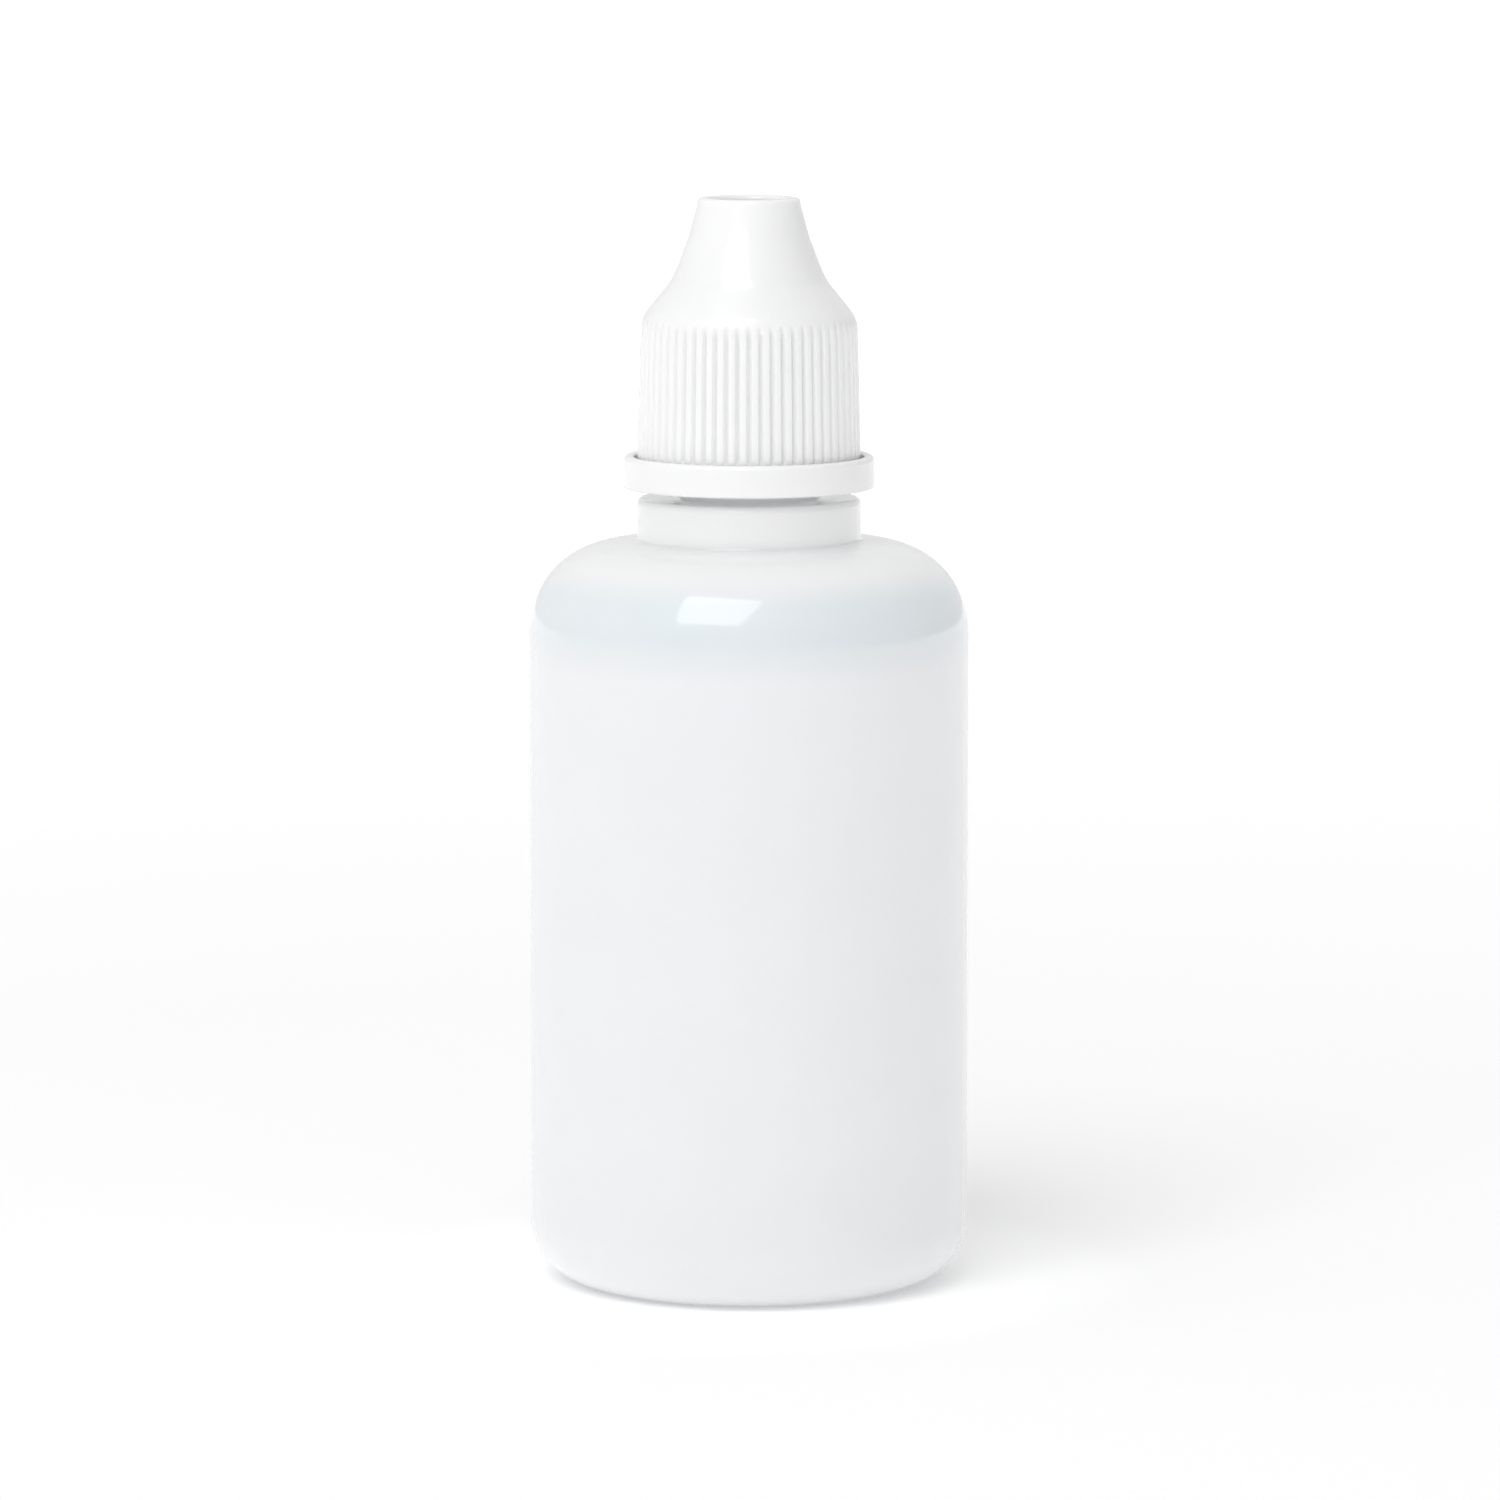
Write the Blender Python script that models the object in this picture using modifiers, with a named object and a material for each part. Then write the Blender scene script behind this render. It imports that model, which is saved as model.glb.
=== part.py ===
"""Squeeze dropper bottle with a push-and-turn closure.

Units are metres, +Z is up, and the origin is the centre of the foot on the bottle's axis.
The bottle is a blown polyethylene body with a moulded neck. A nozzle plug is pressed into
the neck. The closure is a threaded inner cap, a ribbed outer cap that slides on it, and a
tamper ring that stays on the neck. The bottle is filled with a clear liquid.

Outlines are lists of corners (radius, height, fillet). They run from the axis at the bottom,
outwards and up, so that the inside of a wall is always on their left.
"""

import math

import bmesh
import bpy
from mathutils import Matrix, Vector

MM = 0.001

# Clearances between pieces
CLEARANCE = 0.3 * MM             # running gap between neighbours
SINK = 0.25 * MM                 # how deep a joined feature is rooted in its wall

# Bottle body
BODY_RADIUS = 18.3 * MM
BODY_HEIGHT = 62.0 * MM          # foot to the shoulder at the collar
BODY_WALL = 0.95 * MM
SHOULDER_FALL = 0.5 * MM         # slope of the shoulder, from the collar to the wall
SHOULDER_FILLET = 7.4 * MM
FOOT_FILLET = 4.9 * MM
FOOT_WIDTH = 2.4 * MM            # flat ring that the bottle stands on
PUSH_UP = 1.2 * MM               # hollow under the middle of the base
HEADSPACE = 6.1 * MM             # shoulder at the collar down to the liquid

# Collar and neck of the bottle
COLLAR_RADIUS = 9.3 * MM
COLLAR_HEIGHT = 3.6 * MM
COLLAR_WALL = 1.4 * MM
COLLAR_FILLET = 0.55 * MM
COLLAR_FOOT_FILLET = 0.3 * MM
NECK_RADIUS = 5.7 * MM
NECK_WALL = 1.1 * MM
NECK_ROOT = 0.56 * MM            # neck bore's start, below the top of the collar
BEAD_DEPTH = 1.0 * MM            # bead that holds the tamper ring down
BEAD_HEIGHT = 1.1 * MM

# Thread between the neck and the inner cap, right-handed with one start
THREAD_PITCH = 2.7 * MM
THREAD_DEPTH = 0.7 * MM
THREAD_FOOT = 1.1 * MM           # axial width of a ridge at its root
THREAD_CREST = 0.6 * MM
THREAD_RUN_OUT = math.radians(40)
THREAD_END_HEIGHT = 0.35         # a ridge's ends against its full section
THREAD_END_WIDTH = 0.4
THREAD_MARGIN = 0.12 * MM        # inner cap's lower edge to its ridge
THREAD_TOP_MARGIN = 0.9 * MM     # neck rim to the middle of the topmost ridge
CAP_THREAD_START = 0.25          # turns from the neck ridge's start to the cap ridge's
CAP_THREAD_TURNS = 1.0

# Tamper ring
RING_GAP = 0.85 * MM             # collar to ring
RING_HEIGHT = 2.65 * MM
RING_WALL = 0.8 * MM
RING_FLARE = 0.08 * MM
RING_FILLET = 0.4 * MM
WEB_THICKNESS = 0.75 * MM        # floor of the ring, which grips under the bead
WEB_GRIP = 0.4 * MM
BRIDGE_COUNT = 8
BRIDGE_WIDTH = 1.0 * MM

# Outer cap, from its lower edge up
CAP_GAP = 0.4 * MM               # tamper ring to outer cap
CAP_WALL = 1.0 * MM
SKIRT_HEIGHT = 10.93 * MM
SKIRT_TAPER = 0.27 * MM          # the skirt leans in by this much up to the shoulder
CAP_SHOULDER_FILLET = 2.8 * MM
SHOULDER_RISE = 3.16 * MM        # shoulder's edge up to the foot of the spout
SPOUT_FOOT_RADIUS = 6.45 * MM
SPOUT_FOOT_FILLET = 3.0 * MM
SPOUT_RISE = 3.61 * MM           # foot of the spout up to its waist
SPOUT_WAIST_RADIUS = 4.86 * MM
SPOUT_WAIST_FILLET = 25.0 * MM
RIM_RISE = 3.24 * MM             # waist up to the rim
RIM_RADIUS = 4.18 * MM
RIM_FILLET = 0.35 * MM
RIM_WALL = 1.18 * MM
SNAP_DEPTH = 0.47 * MM           # bead that keeps the outer cap on the inner cap
SNAP_HEIGHT = 0.7 * MM

# Grip ribs
RIB_COUNT = 60
RIB_DEPTH = 0.32 * MM
RIB_FOOT = 0.68 * MM
RIB_CREST = 0.36 * MM
RIB_MARGIN = 0.25 * MM           # plain band under the ribs

# Push-and-turn drive between the two caps
SHOULDER_DROP = 2.8 * MM         # outer cap's shoulder to inner cap's shoulder
DRIVE_COUNT = 8
DRIVE_WIDTH = 1.0 * MM
DRIVE_LENGTH = 1.5 * MM
DRIVE_DEPTH = 0.8 * MM

# Inner cap
LIP_WALL = 0.8 * MM              # skirt, where the outer cap's bead passes it
INNER_WALL = 0.9 * MM
CAVITY_FILLET = 0.3 * MM
TIP_GAP = 0.6 * MM               # tip to the hole in the outer cap
TIP_RECESS = 0.7 * MM
TIP_THICKNESS = 1.4 * MM
TIP_FILLET = 0.5 * MM
PIN_RADIUS = 0.35 * MM
PIN_ROOT_RADIUS = 0.56 * MM
PIN_REACH = 0.7 * MM             # how far the pin enters the nozzle

# Dropper plug
FLANGE_THICKNESS = 0.8 * MM
FLANGE_INSET = 0.2 * MM          # flange edge to the neck's outer wall
FLANGE_FILLET = 0.25 * MM
BARREL_LENGTH = 5.0 * MM
BEAD_STARTS = (1.0 * MM, 3.0 * MM)   # sealing beads, up from the end of the barrel
BEAD_WIDTH = 1.0 * MM
BARREL_BEAD = 0.25 * MM          # sealing beads stand this far out
PLUG_WALL = 0.8 * MM
NOZZLE_FOOT_RADIUS = 3.3 * MM
NOZZLE_FOOT_FILLET = 0.5 * MM
NOZZLE_TIP_RADIUS = 1.5 * MM
NOZZLE_TIP_FILLET = 0.4 * MM
NOZZLE_GAP = 1.8 * MM            # nozzle tip to the end of the inner cap's cavity
NOZZLE_CLEARANCE = 0.45 * MM
ORIFICE_RADIUS = 0.7 * MM
ORIFICE_LENGTH = 1.6 * MM

# Mesh fineness
TURN_STEPS = 36
SMALL_TURN_STEPS = 24
ARC_STEP = math.radians(22.5)
THREAD_STEP = math.radians(15)
STRAIGHT = math.radians(179)     # a corner this open needs no arc
MERGE_DISTANCE = 0.001 * MM

# Heights that follow from the sizes above
LIQUID_LEVEL = BODY_HEIGHT - HEADSPACE
COLLAR_TOP = BODY_HEIGHT + COLLAR_HEIGHT
RING_BOTTOM = COLLAR_TOP + RING_GAP
WEB_TOP = RING_BOTTOM + WEB_THICKNESS
BEAD_BOTTOM = WEB_TOP + CLEARANCE
CAP_BOTTOM = RING_BOTTOM + RING_HEIGHT + CAP_GAP
SHOULDER_EDGE = CAP_BOTTOM + SKIRT_HEIGHT
SPOUT_FOOT = SHOULDER_EDGE + SHOULDER_RISE
SPOUT_WAIST = SPOUT_FOOT + SPOUT_RISE
CAP_TOP = SPOUT_WAIST + RIM_RISE
INNER_BOTTOM = CAP_BOTTOM + CLEARANCE
TIP_TOP = CAP_TOP - TIP_RECESS
CAVITY_TOP = TIP_TOP - TIP_THICKNESS
NOZZLE_TOP = CAVITY_TOP - NOZZLE_GAP

# Radii that follow, from the neck outwards
BEAD_RADIUS = NECK_RADIUS + BEAD_DEPTH
THREAD_CREST_RADIUS = NECK_RADIUS + THREAD_DEPTH
CAP_BORE = THREAD_CREST_RADIUS + CLEARANCE
LIP_RADIUS = CAP_BORE + LIP_WALL
SNAP_RADIUS = LIP_RADIUS + CLEARANCE
SKIRT_RADIUS = SNAP_RADIUS + SNAP_DEPTH + CAP_WALL    # over the ribs
SHOULDER_RADIUS = SKIRT_RADIUS - SKIRT_TAPER
TIP_RADIUS = RIM_RADIUS - RIM_WALL - TIP_GAP


# ---- Outlines ----

def unit(from_point, to_point):
    """Return the direction from one outline point to another."""
    dr = to_point[0] - from_point[0]
    dz = to_point[1] - from_point[1]
    length = math.hypot(dr, dz)
    return dr / length, dz / length


def offset(corners, distance):
    """Return the corners moved to the left by a distance, with fillets that stay concentric."""
    moved = []
    last = len(corners) - 1
    for index, (radius, height, fillet) in enumerate(corners):
        before = unit(corners[max(index - 1, 0)], corners[max(index, 1)])
        after = unit(corners[min(index, last - 1)], corners[min(index + 1, last)])
        turn = before[0] * after[1] - before[1] * after[0]
        together = 1.0 + before[0] * after[0] + before[1] * after[1]
        shift_r = -(before[1] + after[1]) / together * distance
        shift_z = (before[0] + after[0]) / together * distance
        if fillet > 0.0 and turn > 0.0:
            fillet = max(fillet - distance, 0.0)
        elif fillet > 0.0:
            fillet = fillet + distance
        moved.append((radius + shift_r, height + shift_z, fillet))
    return moved


def lowered(corners, drop):
    """Return the corners moved straight down."""
    return [(radius, height - drop, fillet) for radius, height, fillet in corners]


def half_angle(before, corner, after):
    """Return half the angle between the two edges that meet at a corner."""
    inward = unit(corner, before)
    outward = unit(corner, after)
    cosine = inward[0] * outward[0] + inward[1] * outward[1]
    return math.acos(max(-1.0, min(1.0, cosine))) / 2.0


def limited(corners):
    """Return the corners with fillets that leave room for each other on every edge."""
    reach = [0.0] * len(corners)
    for index in range(1, len(corners) - 1):
        half = half_angle(*corners[index - 1:index + 2])
        reach[index] = corners[index][2] / math.tan(half) if half < STRAIGHT / 2.0 else 0.0
    fitted = list(corners)
    for index in range(1, len(corners) - 1):
        share = 1.0
        for other in (index - 1, index + 1):
            needed = reach[index] + reach[other]
            edge = math.dist(corners[index][:2], corners[other][:2])
            if needed > edge:
                share = min(share, edge / needed)
        fitted[index] = (*corners[index][:2], corners[index][2] * share)
    return fitted


def fillet_arc(before, corner, after):
    """Return the points of the arc that rounds one corner."""
    fillet = corner[2]
    half = half_angle(before, corner, after)
    if fillet <= 0.0 or half > STRAIGHT / 2.0:
        return [(corner[0], corner[1])]
    inward = unit(corner, before)
    outward = unit(corner, after)
    tangent = fillet / math.tan(half)
    middle = (inward[0] + outward[0], inward[1] + outward[1])
    scale = fillet / math.sin(half) / math.hypot(*middle)
    centre = (corner[0] + middle[0] * scale, corner[1] + middle[1] * scale)
    start = (corner[0] + inward[0] * tangent, corner[1] + inward[1] * tangent)
    end = (corner[0] + outward[0] * tangent, corner[1] + outward[1] * tangent)
    start_angle = math.atan2(start[1] - centre[1], start[0] - centre[0])
    sweep = math.atan2(end[1] - centre[1], end[0] - centre[0]) - start_angle
    sweep = (sweep + math.pi) % (2.0 * math.pi) - math.pi
    steps = max(2, math.ceil(abs(sweep) / ARC_STEP))
    points = []
    for step in range(steps + 1):
        angle = start_angle + sweep * step / steps
        points.append((centre[0] + fillet * math.cos(angle), centre[1] + fillet * math.sin(angle)))
    return points


def rounded(corners):
    """Return an open outline through the corners, with an arc at each fillet."""
    corners = limited(corners)
    points = [corners[0][:2]]
    for before, corner, after in zip(corners, corners[1:], corners[2:]):
        points += fillet_arc(before, corner, after)
    points.append(corners[-1][:2])
    return points


def cut_at_height(points, level):
    """Return the part of a rising outline that lies below a level, ending on the level."""
    kept = []
    for point, following in zip(points, points[1:]):
        kept.append(point)
        if following[1] > level >= point[1]:
            share = (level - point[1]) / (following[1] - point[1])
            kept.append((point[0] + share * (following[0] - point[0]), level))
            break
    return kept


# ---- Objects ----

def clear_scene():
    for item in list(bpy.data.objects):
        bpy.data.objects.remove(item, do_unlink=True)


def make_collection(name):
    collection = bpy.data.collections.new(name)
    bpy.context.scene.collection.children.link(collection)
    return collection


def make_material(name, colour, roughness, transmission=0.0):
    material = bpy.data.materials.new(name)
    material.use_nodes = True
    shader = material.node_tree.nodes["Principled BSDF"]
    shader.inputs["Base Color"].default_value = (*colour, 1.0)
    shader.inputs["Roughness"].default_value = roughness
    shader.inputs["Metallic"].default_value = 0.0
    shader.inputs["Transmission Weight"].default_value = transmission
    return material


def turned(name, outline, collection, seat=0.0, steps=TURN_STEPS, closed=False):
    """Spin an outline about Z. The outline runs up the inside, then down the outside."""
    mesh = bpy.data.meshes.new(name)
    edges = [(index, index + 1) for index in range(len(outline) - 1)]
    if closed:
        edges.append((len(outline) - 1, 0))
    mesh.from_pydata([(radius, 0.0, height - seat) for radius, height in outline], edges, [])
    piece = bpy.data.objects.new(name, mesh)
    piece.location = (0.0, 0.0, seat)
    collection.objects.link(piece)
    screw = piece.modifiers.new("Turn", "SCREW")
    screw.axis = "Z"
    screw.steps = steps
    screw.render_steps = steps
    screw.use_smooth_shade = True
    screw.use_merge_vertices = True
    screw.merge_threshold = MERGE_DISTANCE
    return piece


def make_cutter(name, mesh_maker, collection):
    """Make a hidden helper object that a Boolean joins to a piece."""
    mesh = bpy.data.meshes.new(name)
    shape = bmesh.new()
    mesh_maker(shape)
    bmesh.ops.recalc_face_normals(shape, faces=shape.faces)
    shape.to_mesh(mesh)
    shape.free()
    cutter = bpy.data.objects.new(name, mesh)
    cutter.hide_render = True
    cutter.display_type = "WIRE"
    collection.objects.link(cutter)
    return cutter


def join(piece, cutter):
    """Add a feature to a piece as one solid, keeping it in the piece's place."""
    union = piece.modifiers.new("Join " + cutter.name, "BOOLEAN")
    union.operation = "UNION"
    union.solver = "EXACT"
    union.object = cutter


def loft(shape, sections):
    """Skin a row of sections with the same number of points, and cap both ends."""
    rings = [[shape.verts.new(point) for point in section] for section in sections]
    count = len(rings[0])
    for lower, upper in zip(rings, rings[1:]):
        for index in range(count):
            following = (index + 1) % count
            shape.faces.new((lower[index], lower[following], upper[following], upper[index]))
    shape.faces.new(rings[0])
    shape.faces.new(rings[-1])


def thread_ridge(root_radius, crest_radius, base, first_turn, last_turn):
    """Return a maker for a helical ridge that fades into its wall at both ends.

    Base is the height that the helix has at turn 0, which is at +X.
    """
    inward = 1.0 if crest_radius > root_radius else -1.0
    buried_radius = root_radius - inward * SINK
    first = first_turn * 2.0 * math.pi
    total = (last_turn - first_turn) * 2.0 * math.pi
    steps = round(total / THREAD_STEP)

    def section(along):
        fade = min(1.0, min(along, total - along) / THREAD_RUN_OUT)
        rise = THREAD_END_HEIGHT + (1.0 - THREAD_END_HEIGHT) * fade
        spread = THREAD_END_WIDTH + (1.0 - THREAD_END_WIDTH) * fade
        crest = buried_radius + (crest_radius - buried_radius) * rise
        half_foot = THREAD_FOOT / 2.0 * spread
        half_crest = THREAD_CREST / 2.0 * spread
        angle = first + along
        middle = base + THREAD_PITCH * angle / (2.0 * math.pi)
        points = []
        for radius, height in ((buried_radius, -half_foot), (crest, -half_crest),
                               (crest, half_crest), (buried_radius, half_foot)):
            points.append((radius * math.cos(angle), radius * math.sin(angle), middle + height))
        return points

    def make(shape):
        loft(shape, [section(total * step / steps) for step in range(steps + 1)])

    return make


def ring_of_blocks(count, size, place, phase=0.0):
    """Return a maker for blocks set around the axis, each built at angle 0 by a matrix."""

    def make(shape):
        for index in range(count):
            turn = Matrix.Rotation((index + phase) * 2.0 * math.pi / count, 4, "Z")
            bmesh.ops.create_cube(shape, size=1.0, matrix=turn @ place @ Matrix.Diagonal((*size, 1.0)))

    return make


# ---- Outlines shared by neighbouring pieces ----

def body_corners():
    """Outer corners of the bottle, from the middle of the base to the top of the collar."""
    foot_outer = BODY_RADIUS - FOOT_FILLET
    foot_inner = foot_outer - FOOT_WIDTH
    return [
        (0.0, PUSH_UP, 0.0),
        (foot_inner - PUSH_UP, PUSH_UP, PUSH_UP),
        (foot_inner, 0.0, 0.0),
        (BODY_RADIUS, 0.0, FOOT_FILLET),
        (BODY_RADIUS, BODY_HEIGHT - SHOULDER_FALL, SHOULDER_FILLET),
        (COLLAR_RADIUS, BODY_HEIGHT, COLLAR_FOOT_FILLET),
        (COLLAR_RADIUS, COLLAR_TOP, COLLAR_FILLET),
    ]


def shell_corners():
    """Outer corners of the outer cap over the ribs, from its lower edge to its rim."""
    return [
        (SKIRT_RADIUS, CAP_BOTTOM, 0.0),
        (SHOULDER_RADIUS, SHOULDER_EDGE, CAP_SHOULDER_FILLET),
        (SPOUT_FOOT_RADIUS, SPOUT_FOOT, SPOUT_FOOT_FILLET),
        (SPOUT_WAIST_RADIUS, SPOUT_WAIST, SPOUT_WAIST_FILLET),
        (RIM_RADIUS, CAP_TOP, RIM_FILLET),
    ]


def shell_inner_corners():
    """Inner corners of the outer cap, ending at the hole in its rim."""
    corners = offset(shell_corners(), CAP_WALL)
    corners[-1] = (RIM_RADIUS - RIM_WALL, CAP_TOP, 0.0)
    return corners


def inner_cap_corners():
    """Outer corners of the inner cap's upper part, which follows the outer cap."""
    return lowered(offset(shell_inner_corners(), CLEARANCE), SHOULDER_DROP)


def cavity_corners():
    """Corners of the inner cap's cavity over the neck and the nozzle."""
    return offset(inner_cap_corners(), INNER_WALL)


def ceiling_height():
    """Height at which the inner cap's bore meets its sloping ceiling."""
    return cavity_corners()[1][1]


def flange_top():
    return ceiling_height() - CLEARANCE


def neck_top():
    return flange_top() - FLANGE_THICKNESS - CLEARANCE


def cap_thread_base():
    """Height of the cap ridge's helix at turn 0, which puts its first end on the skirt."""
    first_end = INNER_BOTTOM + THREAD_FOOT / 2.0 + THREAD_MARGIN
    return first_end - CAP_THREAD_START * THREAD_PITCH


# ---- Pieces ----

def make_bottle(parts, cutters):
    outer = body_corners()
    inner = offset(outer, BODY_WALL)[:-2]
    collar_bore = COLLAR_RADIUS - COLLAR_WALL
    neck_bore = NECK_RADIUS - NECK_WALL
    inner += [
        (collar_bore, BODY_HEIGHT - BODY_WALL, COLLAR_FILLET),
        (collar_bore, COLLAR_TOP - COLLAR_WALL - BODY_WALL, COLLAR_FILLET),
        (neck_bore, COLLAR_TOP - NECK_ROOT, COLLAR_FILLET),
        (neck_bore, neck_top(), 0.0),
        (NECK_RADIUS, neck_top(), 0.0),
    ]
    outer += [
        (NECK_RADIUS, COLLAR_TOP, 0.0),
        (NECK_RADIUS, BEAD_BOTTOM, 0.0),
        (BEAD_RADIUS, BEAD_BOTTOM, 0.0),
        (BEAD_RADIUS, BEAD_BOTTOM + BEAD_HEIGHT / 2.0, 0.0),
        (NECK_RADIUS, BEAD_BOTTOM + BEAD_HEIGHT, 0.0),
        (NECK_RADIUS, neck_top(), 0.0),
    ]
    outline = rounded(inner)[:-1] + rounded(outer)[::-1]
    bottle = turned("bottle_body", outline, parts)
    thread_base = cap_thread_base() + THREAD_PITCH / 2.0
    thread_turns = (neck_top() - THREAD_TOP_MARGIN - thread_base) / THREAD_PITCH
    thread = thread_ridge(NECK_RADIUS, THREAD_CREST_RADIUS, thread_base, 0.0, thread_turns)
    join(bottle, make_cutter("neck_thread", thread, cutters))
    return bottle


def make_liquid(parts):
    inner = rounded(offset(body_corners(), BODY_WALL + CLEARANCE)[:-1])
    outline = cut_at_height(inner, LIQUID_LEVEL) + [(0.0, LIQUID_LEVEL)]
    return turned("liquid_fill", outline[::-1], parts)


def make_plug(parts):
    bore = NECK_RADIUS - NECK_WALL - CLEARANCE
    barrel = bore - BARREL_BEAD
    bottom = neck_top() - BARREL_LENGTH
    flange_radius = NECK_RADIUS - FLANGE_INSET
    waist = cavity_corners()[3]
    outer = [
        (barrel - PLUG_WALL, bottom, 0.0),
        (barrel, bottom, 0.0),
    ]
    for start in BEAD_STARTS:
        outer += [
            (barrel, bottom + start, 0.0),
            (bore, bottom + start + BEAD_WIDTH / 2.0, 0.0),
            (barrel, bottom + start + BEAD_WIDTH, 0.0),
        ]
    outer += [
        (barrel, neck_top() + CLEARANCE, 0.0),
        (flange_radius, neck_top() + CLEARANCE, 0.0),
        (flange_radius, flange_top(), FLANGE_FILLET),
        (NOZZLE_FOOT_RADIUS, flange_top(), NOZZLE_FOOT_FILLET),
        (waist[0] - NOZZLE_CLEARANCE, waist[1], 0.0),
        (NOZZLE_TIP_RADIUS, NOZZLE_TOP, NOZZLE_TIP_FILLET),
        (ORIFICE_RADIUS, NOZZLE_TOP, 0.0),
    ]
    inner = [
        (ORIFICE_RADIUS, NOZZLE_TOP - ORIFICE_LENGTH),
        (waist[0] - NOZZLE_CLEARANCE - PLUG_WALL, waist[1]),
        (NOZZLE_FOOT_RADIUS - PLUG_WALL, flange_top()),
        (barrel - PLUG_WALL, neck_top() - PLUG_WALL),
    ]
    outline = rounded(outer) + inner
    return turned("dropper_plug", outline[::-1], parts, seat=neck_top(), steps=SMALL_TURN_STEPS,
                  closed=True)


def make_inner_cap(parts, cutters):
    upper = inner_cap_corners()
    step = CAP_BOTTOM + SNAP_HEIGHT + CLEARANCE
    outer = [
        (CAP_BORE, INNER_BOTTOM, 0.0),
        (LIP_RADIUS, INNER_BOTTOM, 0.0),
        (LIP_RADIUS, step, 0.0),
        (upper[0][0], step, 0.0),
    ] + upper[1:] + [
        (TIP_RADIUS, TIP_TOP, TIP_FILLET),
        (0.0, TIP_TOP, 0.0),
    ]
    cavity = cavity_corners()
    inner = [
        (CAP_BORE, INNER_BOTTOM, 0.0),
        (CAP_BORE, ceiling_height(), 0.0),
    ] + cavity[2:] + [
        (cavity[-1][0], CAVITY_TOP, CAVITY_FILLET),
        (PIN_ROOT_RADIUS, CAVITY_TOP, 0.0),
        (PIN_RADIUS, NOZZLE_TOP + CLEARANCE, 0.0),
        (PIN_RADIUS, NOZZLE_TOP - PIN_REACH, 0.0),
        (0.0, NOZZLE_TOP - PIN_REACH, 0.0),
    ]
    outline = rounded(outer)[::-1] + rounded(inner)[1:]
    cap = turned("inner_cap", outline[::-1], parts, seat=INNER_BOTTOM, steps=SMALL_TURN_STEPS)
    thread = thread_ridge(CAP_BORE, CAP_BORE - THREAD_DEPTH, cap_thread_base(),
                          CAP_THREAD_START, CAP_THREAD_START + CAP_THREAD_TURNS)
    join(cap, make_cutter("cap_thread", thread, cutters))
    join(cap, make_cutter("drive_teeth", drive_blocks(upper, -1.0, 0.0), cutters))
    return cap


def drive_blocks(corners, side, phase):
    """Blocks along a sloping shoulder. Side is +1 for its inner face and -1 for its outer."""
    lower, upper = corners[1], corners[2]
    slope = math.atan2(lower[0] - upper[0], upper[1] - lower[1])
    middle = ((lower[0] + upper[0]) / 2.0, (lower[1] + upper[1]) / 2.0)
    thickness = DRIVE_DEPTH + SINK
    away = side * (thickness / 2.0 - SINK)
    place = (Matrix.Translation((middle[0], 0.0, middle[1]))
             @ Matrix.Rotation(-slope, 4, "Y")
             @ Matrix.Translation((-away, 0.0, 0.0)))
    size = (thickness, DRIVE_WIDTH, DRIVE_LENGTH)
    return ring_of_blocks(DRIVE_COUNT, size, place, phase)


def rib_line():
    """Points (radius, height) along a rib's crest, ending in the shoulder's curve."""
    line = rounded(shell_corners())
    low = CAP_BOTTOM + RIB_MARGIN
    share = RIB_MARGIN / (line[1][1] - CAP_BOTTOM)
    foot_radius = line[0][0] + share * (line[1][0] - line[0][0])
    return [(foot_radius, low), line[1], line[2]]


def rib_bars(shape):
    """Ribs around the skirt, each tapering from its foot to its crest."""
    for index in range(RIB_COUNT):
        turn = Matrix.Rotation((index + 0.5) * 2.0 * math.pi / RIB_COUNT, 3, "Z")
        sections = []
        for radius, height in rib_line():
            foot = radius - RIB_DEPTH - SINK
            corners = ((foot, -RIB_FOOT), (radius, -RIB_CREST), (radius, RIB_CREST), (foot, RIB_FOOT))
            sections.append([turn @ Vector((x, width / 2.0, height)) for x, width in corners])
        loft(shape, sections)


def make_outer_cap(parts, cutters):
    bore = shell_inner_corners()
    rib_end = rib_line()[-1]
    crest = rounded(shell_corners() + [bore[-1]])[:-1]
    above_ribs = [point for point in crest if point[1] > rib_end[1]]
    valley = [(SKIRT_RADIUS - RIB_DEPTH, CAP_BOTTOM), (rib_end[0] - RIB_DEPTH, rib_end[1])]
    outer = valley + above_ribs
    inner = [
        (SNAP_RADIUS, CAP_BOTTOM, 0.0),
        (SNAP_RADIUS, CAP_BOTTOM + SNAP_HEIGHT / 2.0, 0.0),
        (bore[0][0], CAP_BOTTOM + SNAP_HEIGHT, 0.0),
    ] + bore[1:]
    outline = rounded(inner) + outer[::-1]
    cap = turned("outer_cap", outline, parts, seat=CAP_BOTTOM, steps=RIB_COUNT, closed=True)
    join(cap, make_cutter("grip_ribs", rib_bars, cutters))
    join(cap, make_cutter("drive_lugs", drive_blocks(bore, 1.0, 0.5), cutters))
    return cap


def make_ring(parts, cutters):
    inside = SKIRT_RADIUS + CLEARANCE
    outside = inside + RING_WALL
    top = RING_BOTTOM + RING_HEIGHT
    web_edge = BEAD_RADIUS - WEB_GRIP
    outline = rounded([
        (web_edge, RING_BOTTOM, 0.0),
        (web_edge, WEB_TOP, 0.0),
        (inside, WEB_TOP, 0.0),
        (inside, top, 0.0),
        (outside, top, RING_FILLET),
        (outside + RING_FLARE, RING_BOTTOM, 0.0),
    ])
    ring = turned("tamper_ring", outline, parts, seat=RING_BOTTOM, closed=True)
    bridge_inside = BEAD_RADIUS + CLEARANCE
    bridge_outside = SNAP_RADIUS - CLEARANCE
    low = WEB_TOP - SINK
    high = INNER_BOTTOM - CLEARANCE
    size = (bridge_outside - bridge_inside, BRIDGE_WIDTH, high - low)
    place = Matrix.Translation(((bridge_inside + bridge_outside) / 2.0, 0.0, (low + high) / 2.0))
    join(ring, make_cutter("bridges", ring_of_blocks(BRIDGE_COUNT, size, place), cutters))
    return ring


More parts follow.
